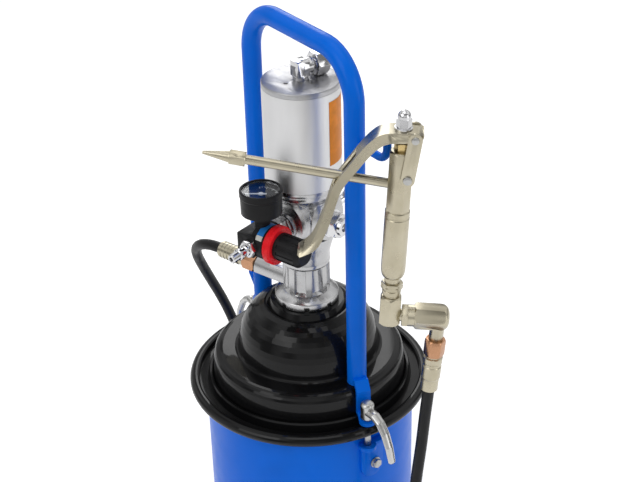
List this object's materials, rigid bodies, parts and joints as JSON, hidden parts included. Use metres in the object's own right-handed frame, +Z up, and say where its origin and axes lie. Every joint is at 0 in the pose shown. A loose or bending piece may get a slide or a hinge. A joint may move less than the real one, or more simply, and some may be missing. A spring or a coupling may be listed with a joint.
{
  "type": "pneumatic grease pump",
  "caption": "Air-operated grease pump on a lidded drum, with a carrying bail, pressure regulator, hose and a hand-held grease gun hung at its side.",
  "frame": {"origin": "centre of the drum's flat bottom, on the floor", "axes": "+Z up along the drum and pump, +X along the bail towards the gun's hook, +Y away from the regulator's side"},
  "size_m": [0.4897, 0.3851, 0.74],
  "materials": {
    "blue_paint": "gloss",
    "black_enamel": "gloss",
    "rubber": "matt",
    "bright_zinc": "satin",
    "cast_lever": "satin",
    "cast_alu": "polished casting",
    "satin_alu": "satin",
    "dark_steel": "turned",
    "chrome": "bright",
    "black_plastic": "satin",
    "red_plastic": "gloss",
    "white_paint": "matt",
    "lens": "clear",
    "copper_nut": "satin copper plate",
    "zinc_nickel": "satin champagne plate",
    "brass": "satin"
  },
  "bodies": {
    "pump": {"drum": "blue_paint", "clamp_brackets": "blue_paint", "bracket_bolts": "bright_zinc", "clamp_studs": "bright_zinc", "lid": "black_enamel", "lid_gasket": "rubber", "bail": "blue_paint", "suction_tube": "bright_zinc", "foot_valve": "bright_zinc", "ring_nut": "cast_alu", "pump_column": "cast_alu", "valve_block": "cast_alu", "side_plug": "chrome", "cylinder_base": "cast_alu", "air_cylinder": "satin_alu", "cylinder_cap": "dark_steel", "cap_elbow": "chrome", "tube_nuts": "chrome", "transfer_tube": "chrome", "regulator_nipple": "chrome", "regulator_body": "black_plastic", "lock_ring": "red_plastic", "gauge_stem": "black_plastic", "gauge_case": "black_plastic", "gauge_dial": "black_plastic", "gauge_lens": "lens", "inlet_plug": "chrome", "outlet_nut": "copper_nut", "outlet_ferrule": "zinc_nickel", "hose_left": "rubber", "hose_coil": "rubber", "hose_right": "rubber", "gun_ferrule": "zinc_nickel", "gun_hose_nut": "copper_nut", "elbow_body": "zinc_nickel", "elbow_nut": "zinc_nickel"},
    "clamp_right": {"clamp_lever_right": "cast_lever"},
    "clamp_left": {"clamp_lever_left": "cast_lever"},
    "follower": {"follower_plate": "bright_zinc", "follower_seal": "rubber"},
    "piston": {"air_piston": "cast_alu", "piston_seal": "rubber", "piston_rod": "chrome"},
    "spool": {"valve_spool": "bright_zinc"},
    "screw": {"adjusting_screw": "bright_zinc"},
    "knob": {"regulator_knob": "black_plastic"},
    "pointer": {"gauge_pointer": "white_paint"},
    "gun_block": {"swivel_body": "zinc_nickel"},
    "gun": {"swivel_nut": "zinc_nickel", "gun_handle": "zinc_nickel", "gun_body": "zinc_nickel", "valve_gland": "brass", "lever_links": "zinc_nickel", "lever_pins": "bright_zinc", "nozzle_tube": "zinc_nickel", "nozzle_coupler": "zinc_nickel"},
    "lever": {"gun_lever": "zinc_nickel", "stem_cap_nut": "chrome"},
    "stem": {"valve_stem": "chrome"}
  },
  "joints": [
    {"name": "clamp_right_turn", "type": "hinge", "parent": "pump", "child": "clamp_right", "pos_m": [0.129, -0.01, 0.315], "axis": [0, 0, 1], "range_deg": [-45, 45]},
    {"name": "clamp_left_turn", "type": "hinge", "parent": "pump", "child": "clamp_left", "pos_m": [-0.129, 0.01, 0.315], "axis": [0, 0, 1], "range_deg": [-45, 45]},
    {"name": "follower_slide", "type": "slide", "parent": "pump", "child": "follower", "axis": [0, 0, 1], "range_m": [-0.2, 0]},
    {"name": "piston_slide", "type": "slide", "parent": "pump", "child": "piston", "axis": [0, 0, 1], "range_m": [-0.036, 0.036]},
    {"name": "spool_slide", "type": "slide", "parent": "pump", "child": "spool", "axis": [0.2924, -0.9563, 0], "range_m": [-0.003, 0.003]},
    {"name": "knob_turn", "type": "hinge", "parent": "pump", "child": "screw", "pos_m": [0.04974, -0.06008, 0.512], "axis": [0.9563, 0.2924, 0], "range_deg": [-540, 540]},
    {"name": "knob_pull", "type": "slide", "parent": "screw", "child": "knob", "axis": [0.9563, 0.2924, 0], "range_m": [0, 0.003]},
    {"name": "pointer_turn", "type": "hinge", "parent": "pump", "child": "pointer", "pos_m": [0.02105, -0.06885, 0.565], "axis": [0, 0, -1], "range_deg": [0, 270]},
    {"name": "gun_tilt", "type": "hinge", "parent": "pump", "child": "gun_block", "pos_m": [0.16643, -0.008, 0.46801], "axis": [0.6146, 0.7866, -0.0593], "range_deg": [0, 50]},
    {"name": "gun_swivel", "type": "hinge", "parent": "gun_block", "child": "gun", "pos_m": [0.16751, -0.00661, 0.49776], "axis": [0.0365, 0.0467, 0.9982], "range_deg": [0, 60]},
    {"name": "lever_squeeze", "type": "hinge", "parent": "gun", "child": "lever", "pos_m": [0.18137, 0.01113, 0.67594], "axis": [0.788, -0.6157, 0], "range_deg": [0, 18], "stiffness_Nm_per_rad": 2, "springref_deg": -22.92},
    {"name": "stem_slide", "type": "slide", "parent": "gun", "child": "stem", "axis": [-0.0365, -0.0467, -0.9982], "range_m": [0, 0.004]}
  ],
  "couplings": [
    {"joint": "stem_slide", "follows": "lever_squeeze", "m_per_rad": 0.0118}
  ]
}
